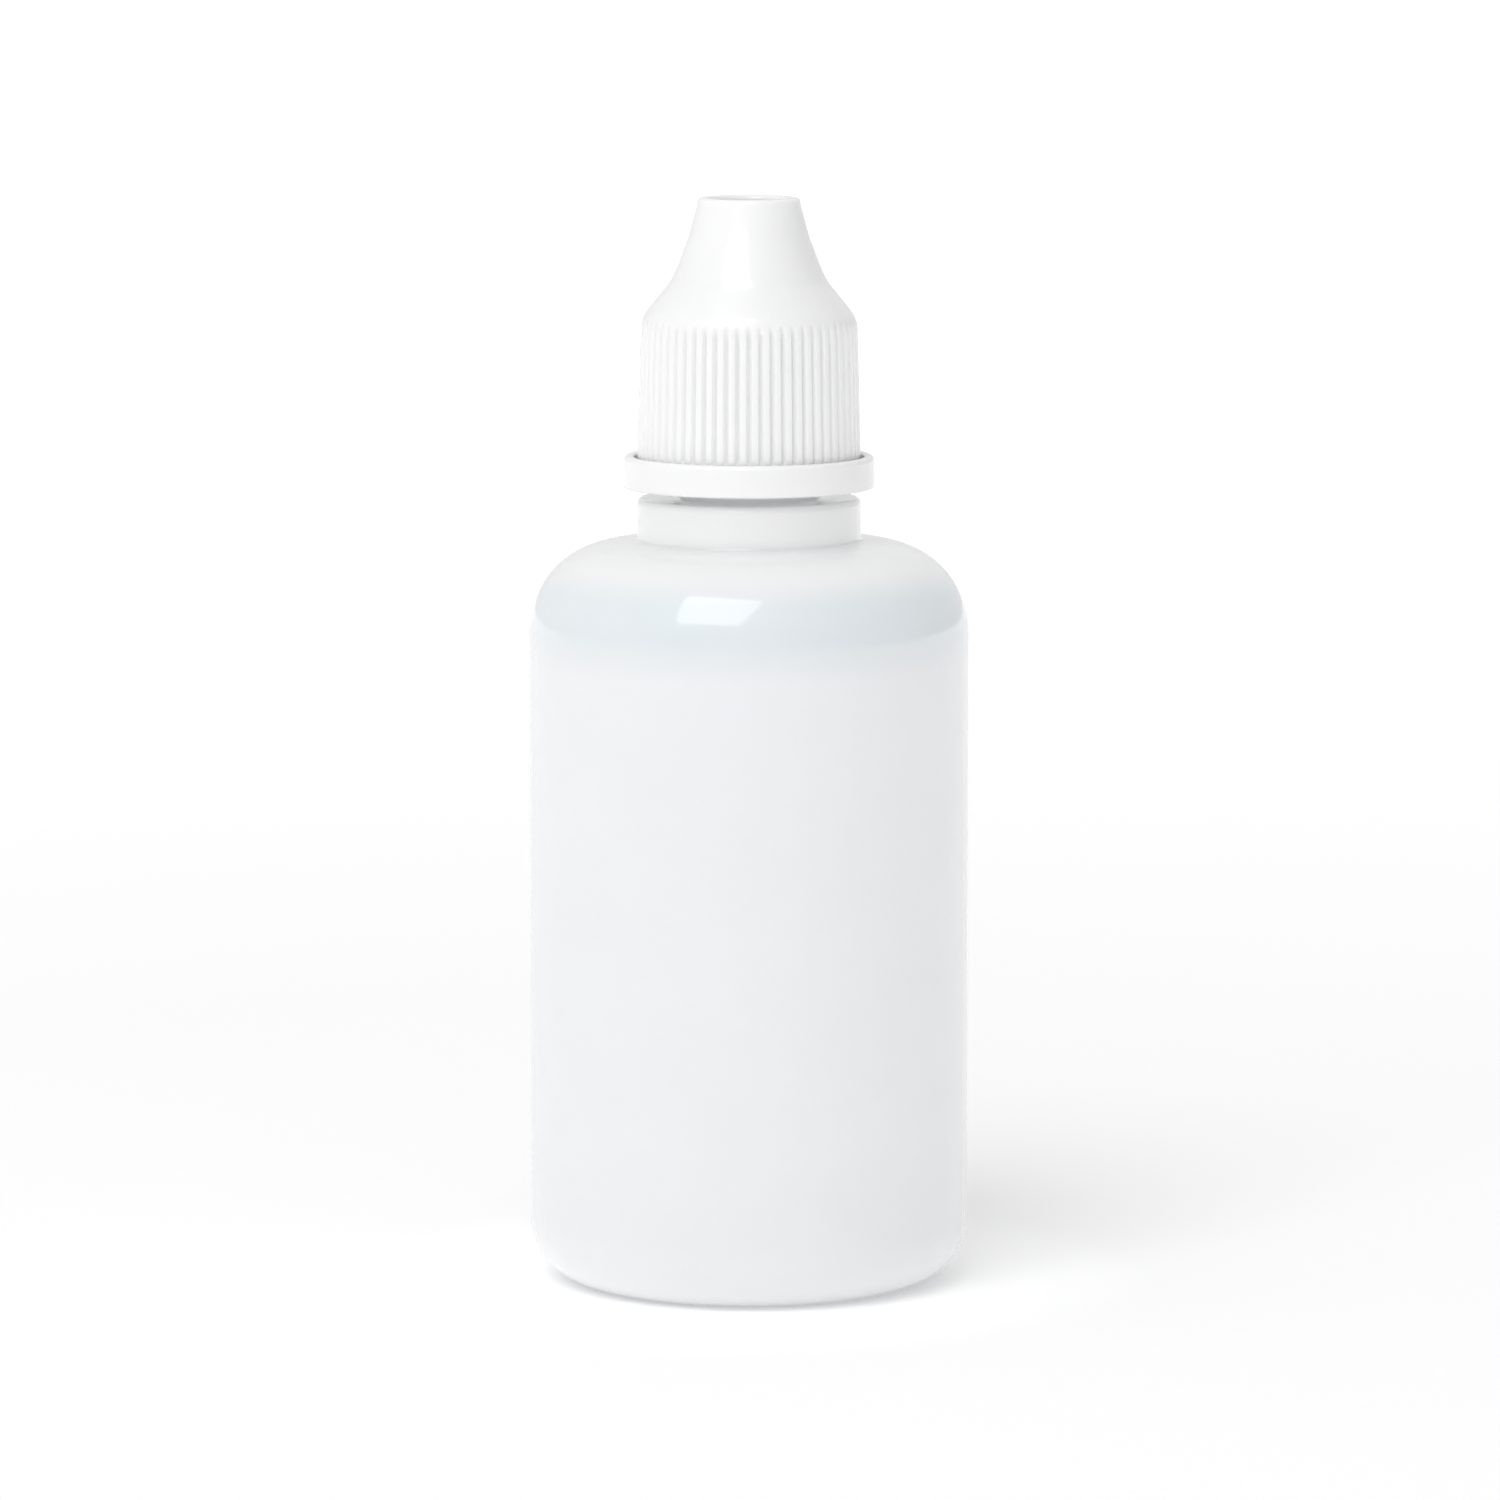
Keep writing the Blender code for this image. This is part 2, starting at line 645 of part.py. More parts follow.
def main():
    clear_scene()
    parts = make_collection("dropper_bottle")
    cutters = make_collection("cutters")
    soft_clear = make_material("translucent_polyethylene", (0.88, 0.90, 0.91), 0.35, 0.6)
    water = make_material("clear_liquid", (0.80, 0.86, 0.90), 0.05, 0.9)
    white = make_material("white_closure", (0.90, 0.91, 0.92), 0.28)
    milky = make_material("milky_plug", (0.86, 0.88, 0.89), 0.35, 0.3)

    bottle = make_bottle(parts, cutters)
    liquid = make_liquid(parts)
    plug = make_plug(parts)
    ring = make_ring(parts, cutters)
    inner_cap = make_inner_cap(parts, cutters)
    outer_cap = make_outer_cap(parts, cutters)

    finishes = ((bottle, soft_clear), (liquid, water), (plug, milky),
                (ring, white), (inner_cap, white), (outer_cap, white))
    for piece, material in finishes:
        piece.data.materials.append(material)

    # The closure turns about one axis, so its pieces hang from an empty on that axis.
    axis = bpy.data.objects.new("closure_axis", None)
    axis.location = (0.0, 0.0, CAP_BOTTOM)
    parts.objects.link(axis)
    for piece in (ring, inner_cap, outer_cap):
        piece.parent = axis
        piece.location.z -= CAP_BOTTOM


main()
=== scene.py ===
"""Looks of the squeeze dropper bottle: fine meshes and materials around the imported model.

Everything is in metres in the model's own frame, with +Z up and the bottle's foot at the origin.
Each piece is a turned shape whose outline starts from the size of its CAD node.
"""

import math

import bmesh
import bpy
from mathutils import Matrix, Vector


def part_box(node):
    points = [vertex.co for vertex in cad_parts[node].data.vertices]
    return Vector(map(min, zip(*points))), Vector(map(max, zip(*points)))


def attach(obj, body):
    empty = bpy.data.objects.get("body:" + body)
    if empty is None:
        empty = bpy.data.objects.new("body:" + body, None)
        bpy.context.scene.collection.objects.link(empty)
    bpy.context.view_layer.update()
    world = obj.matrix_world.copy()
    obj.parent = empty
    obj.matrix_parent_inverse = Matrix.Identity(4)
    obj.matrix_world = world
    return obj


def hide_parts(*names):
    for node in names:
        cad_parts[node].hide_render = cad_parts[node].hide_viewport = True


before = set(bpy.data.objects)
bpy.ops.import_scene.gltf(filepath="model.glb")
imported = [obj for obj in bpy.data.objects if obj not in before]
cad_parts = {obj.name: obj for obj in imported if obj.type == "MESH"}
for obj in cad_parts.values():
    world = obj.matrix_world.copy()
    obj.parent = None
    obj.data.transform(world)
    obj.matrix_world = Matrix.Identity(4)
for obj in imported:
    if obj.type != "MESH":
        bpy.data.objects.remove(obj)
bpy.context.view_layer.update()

MM = 0.001


def radius_of(node):
    """Largest radius of a turned CAD node."""
    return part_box(node)[1].x


def bottom_of(node):
    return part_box(node)[0].z


def top_of(node):
    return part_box(node)[1].z


# ---- Sizes read from the frame ----

BODY_RADIUS = radius_of("bottle_body")
NECK_TOP = top_of("bottle_body")
LIQUID_LEVEL = top_of("liquid_fill")
RING_BOTTOM = bottom_of("tamper_ring")
CAP_BOTTOM = bottom_of("outer_cap")
CAP_TOP = top_of("outer_cap")
INNER_BOTTOM = bottom_of("inner_cap")
TIP_TOP = top_of("inner_cap")
NOZZLE_TOP = top_of("dropper_plug")
PLUG_BOTTOM = bottom_of("dropper_plug")

# ---- Sizes that repeat the CAD model's own, with the small rounds on them ----

CLEARANCE = 0.3 * MM

BODY_HEIGHT = 62.0 * MM
BODY_WALL = 0.95 * MM
SHOULDER_FALL = 0.5 * MM
SHOULDER_FILLET = 7.4 * MM
FOOT_FILLET = 4.9 * MM
FOOT_WIDTH = 2.4 * MM
FOOT_INNER_FILLET = 0.6 * MM
PUSH_UP = 1.2 * MM

COLLAR_RADIUS = 9.3 * MM
COLLAR_TOP = 65.6 * MM
COLLAR_WALL = 1.4 * MM
COLLAR_FILLET = 0.55 * MM
COLLAR_FOOT_FILLET = 0.35 * MM
COLLAR_THROAT = 0.4              # depth of the neck bore's lower edge, in collar walls
NECK_RADIUS = 5.7 * MM
NECK_WALL = 1.1 * MM
NECK_FOOT_FILLET = 0.3 * MM
NECK_RIM_FILLET = 0.25 * MM
BEAD_DEPTH = 1.0 * MM
BEAD_HEIGHT = 1.1 * MM

THREAD_PITCH = 2.7 * MM
THREAD_DEPTH = 0.7 * MM
THREAD_FOOT = 1.1 * MM
THREAD_RUN_OUT = 40 / 360
THREAD_TOP_MARGIN = 0.9 * MM
THREAD_MARGIN = 0.12 * MM
CAP_THREAD_START = 0.25
CAP_THREAD_TURNS = 1.0

RING_HEIGHT = 2.65 * MM
RING_WALL = 0.8 * MM
RING_FLARE = 0.08 * MM
RING_FILLET = 0.4 * MM
WEB_THICKNESS = 0.75 * MM
WEB_GRIP = 0.4 * MM
BRIDGE_COUNT = 8
BRIDGE_WIDTH = 1.0 * MM

SKIRT_RADIUS = 9.27 * MM
SHOULDER_RADIUS = 9.0 * MM
SHOULDER_HEIGHT = 10.93 * MM
CAP_SHOULDER_FILLET = 2.8 * MM
SPOUT_FOOT_RADIUS = 6.45 * MM
SPOUT_FOOT_HEIGHT = 14.09 * MM
SPOUT_FOOT_FILLET = 3.0 * MM
SPOUT_WAIST_RADIUS = 4.86 * MM
SPOUT_WAIST_HEIGHT = 17.7 * MM
SPOUT_WAIST_FILLET = 25.0 * MM
RIM_RADIUS = 4.18 * MM
RIM_FILLET = 0.35 * MM
CAP_WALL = 1.0 * MM
RIM_WALL = 1.18 * MM
SNAP_DEPTH = 0.47 * MM
SNAP_HEIGHT = 0.7 * MM

RIB_COUNT = 60
RIB_DEPTH = 0.30 * MM

SHOULDER_DROP = 2.8 * MM
DRIVE_COUNT = 8
DRIVE_WIDTH = 1.0 * MM
DRIVE_LENGTH = 1.5 * MM
DRIVE_DEPTH = 0.8 * MM
DRIVE_SINK = 0.25 * MM           # part of each block that is inside the shoulder

INNER_WALL = 0.9 * MM
TIP_GAP = 0.6 * MM
TIP_THICKNESS = 1.4 * MM
TIP_FILLET = 0.5 * MM
PIN_RADIUS = 0.35 * MM
PIN_ROOT_RADIUS = 0.56 * MM
PIN_REACH = 0.7 * MM
CAVITY_FILLET = 0.3 * MM

FLANGE_THICKNESS = 0.8 * MM
FLANGE_INSET = 0.2 * MM
FLANGE_FILLET = 0.25 * MM
BARREL_BEAD = 0.25 * MM
BARREL_BEAD_STARTS = (1.0 * MM, 3.0 * MM)
BARREL_BEAD_WIDTH = 1.0 * MM
BARREL_BEAD_FILLET = 0.2 * MM
PLUG_WALL = 0.8 * MM
PLUG_BORE_FILLET = 0.5 * MM
NOZZLE_FOOT_RADIUS = 3.3 * MM
NOZZLE_FOOT_FILLET = 0.6 * MM
NOZZLE_WAIST_FILLET = 4.0 * MM
NOZZLE_TIP_RADIUS = 1.5 * MM
NOZZLE_TIP_FILLET = 0.4 * MM
NOZZLE_CLEARANCE = 0.45 * MM
ORIFICE_RADIUS = 0.7 * MM
ORIFICE_LENGTH = 1.6 * MM
ORIFICE_FILLET = 0.2 * MM

WEB_TOP = RING_BOTTOM + WEB_THICKNESS
BEAD_BOTTOM = WEB_TOP + CLEARANCE
BEAD_RADIUS = NECK_RADIUS + BEAD_DEPTH
CAP_BORE = NECK_RADIUS + THREAD_DEPTH + CLEARANCE
SNAP_RADIUS = SKIRT_RADIUS - CAP_WALL - SNAP_DEPTH
TIP_RADIUS = RIM_RADIUS - RIM_WALL - TIP_GAP
CAVITY_TOP = TIP_TOP - TIP_THICKNESS

# ---- Finer shapes that only the visual model has ----

SKIRT_DIP = 0.7 * MM             # the skirt's thin edge reaches this far below the CAD's, into the ring
SKIRT_EDGE_WALL = 0.8 * MM
SKIRT_EDGE_FILLET = 0.2 * MM
SKIRT_BOTTOM = CAP_BOTTOM - SKIRT_DIP

RIB_MARGIN = 0.125 * MM          # skirt's edge to the ribs
RIB_RISE = 0.35 * MM             # the grooves deepen over this height above the margin
RIB_TOP_MARGIN = 0.15 * MM       # ribs' rounded ends to the shoulder
RIB_TOP_ROUND = 0.9 * MM
RIBBED_RADIUS = SHOULDER_RADIUS - 0.75 * MM     # smaller radii carry no ribs
GROOVE_START = 0.42              # from a rib's middle, in halves of the pitch
GROOVE_FLANK = 0.5

THREAD_REACH = 1.05              # where the ridge meets the wall, in halves of its foot's width
THREAD_FLANK = 0.5               # width of each flank, in the same halves

EDGE = 0.12 * MM                 # small round on moulded edges
LIQUID_BITE = 0.02 * MM          # the liquid wets the wall, so it reaches just into it
MENISCUS_RISE = 0.45 * MM
MENISCUS_WIDTH = 1.8 * MM
MENISCUS_DECAY = 4.0
MENISCUS_STEPS = 12

# ---- Mesh fineness ----

ARC_STEP = math.radians(6)
BODY_STEPS = 144
SMALL_STEPS = 96
RIB_STEPS = 8                    # columns to a rib
RIB_ROW = 0.35 * MM
THREAD_ROW = 0.11 * MM
SHARP_ANGLE = math.radians(35)
STRAIGHT_ANGLE = math.radians(89.5)
ON_AXIS = 0.001 * MM
ON_WALL = 0.02 * MM


# ---- Outlines ----

def unit(from_point, to_point):
    """Return the direction from one outline point to another."""
    dr = to_point[0] - from_point[0]
    dz = to_point[1] - from_point[1]
    length = math.hypot(dr, dz)
    return dr / length, dz / length


def offset(corners, distance):
    """Return the corners moved to the left by a distance, with fillets that stay concentric."""
    moved = []
    last = len(corners) - 1
    for index, (radius, height, fillet) in enumerate(corners):
        before = unit(corners[max(index - 1, 0)], corners[max(index, 1)])
        after = unit(corners[min(index, last - 1)], corners[min(index + 1, last)])
        turn = before[0] * after[1] - before[1] * after[0]
        together = 1.0 + before[0] * after[0] + before[1] * after[1]
        shift_r = -(before[1] + after[1]) / together * distance
        shift_z = (before[0] + after[0]) / together * distance
        if fillet > 0.0 and turn > 0.0:
            fillet = max(fillet - distance, 0.0)
        elif fillet > 0.0:
            fillet = fillet + distance
        moved.append((radius + shift_r, height + shift_z, fillet))
    return moved


def fillet_arc(before, corner, after):
    """Return the points of the arc that rounds one corner."""
    fillet = corner[2]
    inward = unit(corner, before)
    outward = unit(corner, after)
    cosine = inward[0] * outward[0] + inward[1] * outward[1]
    half_angle = math.acos(max(-1.0, min(1.0, cosine))) / 2.0
    if fillet <= 0.0 or half_angle > STRAIGHT_ANGLE:
        return [(corner[0], corner[1])]
    tangent = fillet / math.tan(half_angle)
    middle = (inward[0] + outward[0], inward[1] + outward[1])
    scale = fillet / math.sin(half_angle) / math.hypot(*middle)
    centre = (corner[0] + middle[0] * scale, corner[1] + middle[1] * scale)
    start = (corner[0] + inward[0] * tangent, corner[1] + inward[1] * tangent)
    end = (corner[0] + outward[0] * tangent, corner[1] + outward[1] * tangent)
    start_angle = math.atan2(start[1] - centre[1], start[0] - centre[0])
    sweep = math.atan2(end[1] - centre[1], end[0] - centre[0]) - start_angle
    sweep = (sweep + math.pi) % (2.0 * math.pi) - math.pi
    steps = max(2, math.ceil(abs(sweep) / ARC_STEP))
    points = []
    for step in range(steps + 1):
        angle = start_angle + sweep * step / steps
        points.append((centre[0] + fillet * math.cos(angle), centre[1] + fillet * math.sin(angle)))
    return points


def rounded(corners, closed=False):
    """Return an outline through the corners, with an arc at each fillet."""
    if closed:
        looped = [corners[-1]] + corners + [corners[0]]
        return rounded(looped)[1:-1]
    points = [corners[0][:2]]
    for before, corner, after in zip(corners, corners[1:], corners[2:]):
        points += fillet_arc(before, corner, after)
    points.append(corners[-1][:2])
    return points


def divided(points, longest):
    """Return the outline with its long stretches cut into equal rows."""
    rows = [points[0]]
    for start, end in zip(points, points[1:]):
        count = max(1, math.ceil(math.dist(start, end) / longest))
        for step in range(1, count + 1):
            share = step / count
            rows.append((start[0] + share * (end[0] - start[0]), start[1] + share * (end[1] - start[1])))
    return rows


def divided_between(points, low, high, longest, inner_radius, outer_radius):
    """Divide only the stretch that carries a thread."""
    rows = [points[0]]
    for start, end in zip(points, points[1:]):
        upright = abs(start[0] - end[0]) < EDGE
        inside = inner_radius < start[0] < outer_radius
        spans = min(start[1], end[1]) < high and max(start[1], end[1]) > low
        rows += divided([start, end], longest)[1:] if upright and inside and spans else [end]
    return rows


def smoothstep(value):
    value = max(0.0, min(1.0, value))
    return value * value * (3.0 - 2.0 * value)


# ---- Meshes ----

def lathe(name, outline, steps=SMALL_STEPS, closed=False, relief=None):
    """Turn an outline about Z. The outline runs down the outside. Relief adds to the radius."""
    shape = bmesh.new()
    rings = []
    for radius, height in outline:
        if radius < ON_AXIS:
            rings.append([shape.verts.new((0.0, 0.0, height))])
            continue
        ring = []
        for step in range(steps):
            angle = 2.0 * math.pi * step / steps
            reach = radius + (relief(angle, radius, height) if relief else 0.0)
            ring.append(shape.verts.new((reach * math.cos(angle), reach * math.sin(angle), height)))
        rings.append(ring)
    pairs = list(zip(rings, rings[1:]))
    if closed:
        pairs.append((rings[-1], rings[0]))
    for upper, lower in pairs:
        for step in range(steps):
            following = (step + 1) % steps
            if len(upper) == 1 and len(lower) > 1:
                shape.faces.new((upper[0], lower[step], lower[following]))
            elif len(lower) == 1 and len(upper) > 1:
                shape.faces.new((upper[following], upper[step], lower[0]))
            elif len(upper) > 1:
                shape.faces.new((upper[step], lower[step], lower[following], upper[following]))
    bmesh.ops.recalc_face_normals(shape, faces=shape.faces)
    mesh = bpy.data.meshes.new(name)
    shape.to_mesh(mesh)
    shape.free()
    mesh.shade_smooth()
    mesh.set_sharp_from_angle(angle=SHARP_ANGLE)
    piece = bpy.data.objects.new(name, mesh)
    bpy.context.scene.collection.objects.link(piece)
    return piece


def add_blocks(piece, count, size, place, phase=0.0):
    """Join rounded blocks, set around the axis, to a piece as one solid."""
    shape = bmesh.new()
    for index in range(count):
        turn = Matrix.Rotation((index + phase) * 2.0 * math.pi / count, 4, "Z")
        matrix = turn @ place @ Matrix.Diagonal((*size, 1.0))
        bmesh.ops.create_cube(shape, size=1.0, matrix=matrix)
    bmesh.ops.bevel(shape, geom=list(shape.edges), offset=EDGE, segments=2, affect="EDGES")
    mesh = bpy.data.meshes.new("blocks")
    shape.to_mesh(mesh)
    shape.free()
    cutter = bpy.data.objects.new("blocks", mesh)
    bpy.context.scene.collection.objects.link(cutter)
    union = piece.modifiers.new("Join blocks", "BOOLEAN")
    union.operation = "UNION"
    union.solver = "EXACT"
    union.object = cutter
    bpy.context.view_layer.update()
    evaluated = piece.evaluated_get(bpy.context.evaluated_depsgraph_get())
    joined = bpy.data.meshes.new_from_object(evaluated)
    piece.modifiers.clear()
    piece.data = joined
    joined.shade_smooth()
    joined.set_sharp_from_angle(angle=SHARP_ANGLE)
    bpy.data.objects.remove(cutter)


# ---- Outlines shared by neighbouring pieces ----

def body_corners():
    """Outer corners of the bottle, from the middle of the base to the top of the collar."""
    foot_outer = BODY_RADIUS - FOOT_FILLET
    foot_inner = foot_outer - FOOT_WIDTH
    return [
        (0.0, PUSH_UP, 0.0),
        (foot_inner - PUSH_UP, PUSH_UP, PUSH_UP),
        (foot_inner, 0.0, FOOT_INNER_FILLET),
        (BODY_RADIUS, 0.0, FOOT_FILLET),
        (BODY_RADIUS, BODY_HEIGHT - SHOULDER_FALL, SHOULDER_FILLET),
        (COLLAR_RADIUS, BODY_HEIGHT, COLLAR_FOOT_FILLET),
        (COLLAR_RADIUS, COLLAR_TOP, COLLAR_FILLET),
    ]


def shell_corners():
    """Outer corners of the outer cap over the ribs, from its lower edge to its rim."""
    return [
        (SKIRT_RADIUS, CAP_BOTTOM, 0.0),
        (SHOULDER_RADIUS, CAP_BOTTOM + SHOULDER_HEIGHT, CAP_SHOULDER_FILLET),
        (SPOUT_FOOT_RADIUS, CAP_BOTTOM + SPOUT_FOOT_HEIGHT, SPOUT_FOOT_FILLET),
        (SPOUT_WAIST_RADIUS, CAP_BOTTOM + SPOUT_WAIST_HEIGHT, SPOUT_WAIST_FILLET),
        (RIM_RADIUS, CAP_TOP, RIM_FILLET),
    ]


def shell_inner_corners():
    """Inner corners of the outer cap, ending at the hole in its rim."""
    corners = offset(shell_corners(), CAP_WALL)
    corners[-1] = (RIM_RADIUS - RIM_WALL, CAP_TOP, RIM_FILLET)
    return corners


def inner_cap_corners():
    """Outer corners of the inner cap's upper part, which follows the outer cap."""
    followed = offset(shell_inner_corners(), CLEARANCE)
    return [(radius, height - SHOULDER_DROP, fillet) for radius, height, fillet in followed]


def cavity_corners():
    """Corners of the inner cap's cavity over the neck and the nozzle."""
    return offset(inner_cap_corners(), INNER_WALL)


def thread_relief(base, first_turn, last_turn, depth, wall_radius):
    """Return a relief that raises a helical ridge on one wall, fading at both ends."""

    def relief(angle, radius, height):
        if abs(radius - wall_radius) > ON_WALL:
            return 0.0
        raised = 0.0
        for lap in range(-1, 3):
            turn = angle / (2.0 * math.pi) + lap
            if not first_turn <= turn <= last_turn:
                continue
            fade = smoothstep(min(turn - first_turn, last_turn - turn) / THREAD_RUN_OUT)
            distance = abs(height - base - THREAD_PITCH * turn) / (THREAD_FOOT / 2.0)
            raised = max(raised, smoothstep((THREAD_REACH - distance) / THREAD_FLANK) * fade)
        return depth * raised

    return relief


def rib_relief(angle, radius, height):
    """Round-topped ribs with narrow grooves between them, on the skirt's outer face only."""
    if radius < RIBBED_RADIUS:
        return 0.0
    rib_top = CAP_BOTTOM + SHOULDER_HEIGHT - RIB_TOP_MARGIN
    along = min(1.0, max(0.0, (rib_top - height) / RIB_TOP_ROUND))
    above_edge = min(1.0, max(0.0, (height - SKIRT_BOTTOM - RIB_MARGIN) / RIB_RISE))
    phase = (angle * RIB_COUNT / (2.0 * math.pi)) % 1.0
    across = abs(phase - 0.5) * 2.0
    groove = smoothstep((across - GROOVE_START) / GROOVE_FLANK)
    return -RIB_DEPTH * groove * math.sqrt(along) * smoothstep(above_edge)


# ---- Pieces ----

def make_bottle():
    outer = body_corners()
    inner = offset(outer, BODY_WALL)[:-2]
    collar_bore = COLLAR_RADIUS - COLLAR_WALL
    neck_bore = NECK_RADIUS - NECK_WALL
    inner += [
        (collar_bore, BODY_HEIGHT - BODY_WALL, COLLAR_FILLET),
        (collar_bore, COLLAR_TOP - COLLAR_WALL - BODY_WALL, COLLAR_FILLET),
        (neck_bore, COLLAR_TOP - COLLAR_THROAT * COLLAR_WALL, COLLAR_FILLET),
        (neck_bore, NECK_TOP, NECK_RIM_FILLET),
    ]
    outer += [
        (NECK_RADIUS, COLLAR_TOP, NECK_FOOT_FILLET),
        (NECK_RADIUS, BEAD_BOTTOM, EDGE),
        (BEAD_RADIUS, BEAD_BOTTOM, EDGE),
        (BEAD_RADIUS, BEAD_BOTTOM + BEAD_HEIGHT / 2.0, 2.0 * EDGE),
        (NECK_RADIUS, BEAD_BOTTOM + BEAD_HEIGHT, 2.0 * EDGE),
        (NECK_RADIUS, NECK_TOP, NECK_RIM_FILLET),
    ]
    base = INNER_BOTTOM + THREAD_FOOT / 2.0 + THREAD_MARGIN + (0.5 - CAP_THREAD_START) * THREAD_PITCH
    turns = (NECK_TOP - THREAD_TOP_MARGIN - base) / THREAD_PITCH
    outline = rounded(inner + outer[::-1])
    outline = divided_between(outline, BEAD_BOTTOM, NECK_TOP, THREAD_ROW,
                              NECK_RADIUS - EDGE, NECK_RADIUS + EDGE)
    relief = thread_relief(base, 0.0, turns, THREAD_DEPTH, NECK_RADIUS)
    return lathe("bottle", outline, BODY_STEPS, relief=relief)


def make_liquid():
    """The liquid wets the wall and climbs it a little in a meniscus."""
    outline = rounded(offset(body_corners(), BODY_WALL - LIQUID_BITE)[:-1])
    wall = []
    for point, following in zip(outline, outline[1:]):
        wall.append(point)
        if following[1] > LIQUID_LEVEL >= point[1] and point[0] > BODY_RADIUS / 2.0:
            share = (LIQUID_LEVEL - point[1]) / (following[1] - point[1])
            wall.append((point[0] + share * (following[0] - point[0]), LIQUID_LEVEL))
            break
    edge = wall[-1][0]
    surface = []
    for step in range(1, MENISCUS_STEPS + 1):
        share = step / MENISCUS_STEPS
        climb = MENISCUS_RISE * (math.exp(-MENISCUS_DECAY * share) - 1.0)
        surface.append((edge - MENISCUS_WIDTH * share, LIQUID_LEVEL + climb))
    filled = wall + surface + [(0.0, surface[-1][1])]
    return lathe("liquid", filled[::-1], BODY_STEPS)


def make_plug():
    bore = NECK_RADIUS - NECK_WALL - CLEARANCE
    barrel = bore - BARREL_BEAD
    flange_radius = NECK_RADIUS - FLANGE_INSET
    flange_bottom = NECK_TOP + CLEARANCE
    flange_top = flange_bottom + FLANGE_THICKNESS
    waist = cavity_corners()[3]
    corners = [(barrel - PLUG_WALL, PLUG_BOTTOM, EDGE), (barrel, PLUG_BOTTOM, EDGE)]
    for start in BARREL_BEAD_STARTS:
        bead = PLUG_BOTTOM + start
        corners += [
            (barrel, bead, BARREL_BEAD_FILLET),
            (bore, bead + BARREL_BEAD_WIDTH / 2.0, BARREL_BEAD_FILLET),
            (barrel, bead + BARREL_BEAD_WIDTH, BARREL_BEAD_FILLET),
        ]
    corners += [
        (barrel, flange_bottom, EDGE),
        (flange_radius, flange_bottom, EDGE),
        (flange_radius, flange_top, FLANGE_FILLET),
        (NOZZLE_FOOT_RADIUS, flange_top, NOZZLE_FOOT_FILLET),
        (waist[0] - NOZZLE_CLEARANCE, waist[1], NOZZLE_WAIST_FILLET),
        (NOZZLE_TIP_RADIUS, NOZZLE_TOP, NOZZLE_TIP_FILLET),
        (ORIFICE_RADIUS, NOZZLE_TOP, ORIFICE_FILLET),
        (ORIFICE_RADIUS, NOZZLE_TOP - ORIFICE_LENGTH, ORIFICE_FILLET),
        (waist[0] - NOZZLE_CLEARANCE - PLUG_WALL, waist[1], PLUG_BORE_FILLET),
        (NOZZLE_FOOT_RADIUS - PLUG_WALL, flange_top, PLUG_BORE_FILLET),
        (barrel - PLUG_WALL, NECK_TOP - PLUG_WALL, PLUG_BORE_FILLET),
    ]
    return lathe("nozzle_plug", rounded(corners, closed=True)[::-1], closed=True)


def make_ring():
    inside = SKIRT_RADIUS + CLEARANCE
    outside = inside + RING_WALL
    top = RING_BOTTOM + RING_HEIGHT
    web_edge = BEAD_RADIUS - WEB_GRIP
    corners = [
        (web_edge, RING_BOTTOM, EDGE),
        (web_edge, WEB_TOP, EDGE),
        (inside, WEB_TOP, EDGE),
        (inside, top, 2.0 * EDGE),
        (outside, top, RING_FILLET),
        (outside + RING_FLARE, RING_BOTTOM, 1.5 * EDGE),
    ]
    ring = lathe("ring", rounded(corners, closed=True)[::-1], BODY_STEPS, closed=True)
    low = WEB_TOP - CLEARANCE
    high = INNER_BOTTOM - CLEARANCE
    near = BEAD_RADIUS + CLEARANCE
    far = SNAP_RADIUS - CLEARANCE
    place = Matrix.Translation(((near + far) / 2.0, 0.0, (low + high) / 2.0))
    add_blocks(ring, BRIDGE_COUNT, (far - near, BRIDGE_WIDTH, high - low), place)
    return ring


def drive_place(corners, side):
    """Size and place of a block on a sloping shoulder. Side is +1 for its inner face."""
    lower, upper = corners[1], corners[2]
    slope = math.atan2(lower[0] - upper[0], upper[1] - lower[1])
    middle = ((lower[0] + upper[0]) / 2.0, (lower[1] + upper[1]) / 2.0)
    thickness = DRIVE_DEPTH + DRIVE_SINK
    away = side * (thickness / 2.0 - DRIVE_SINK)
    place = (Matrix.Translation((middle[0], 0.0, middle[1]))
             @ Matrix.Rotation(-slope, 4, "Y")
             @ Matrix.Translation((-away, 0.0, 0.0)))
    return (thickness, DRIVE_WIDTH, DRIVE_LENGTH), place


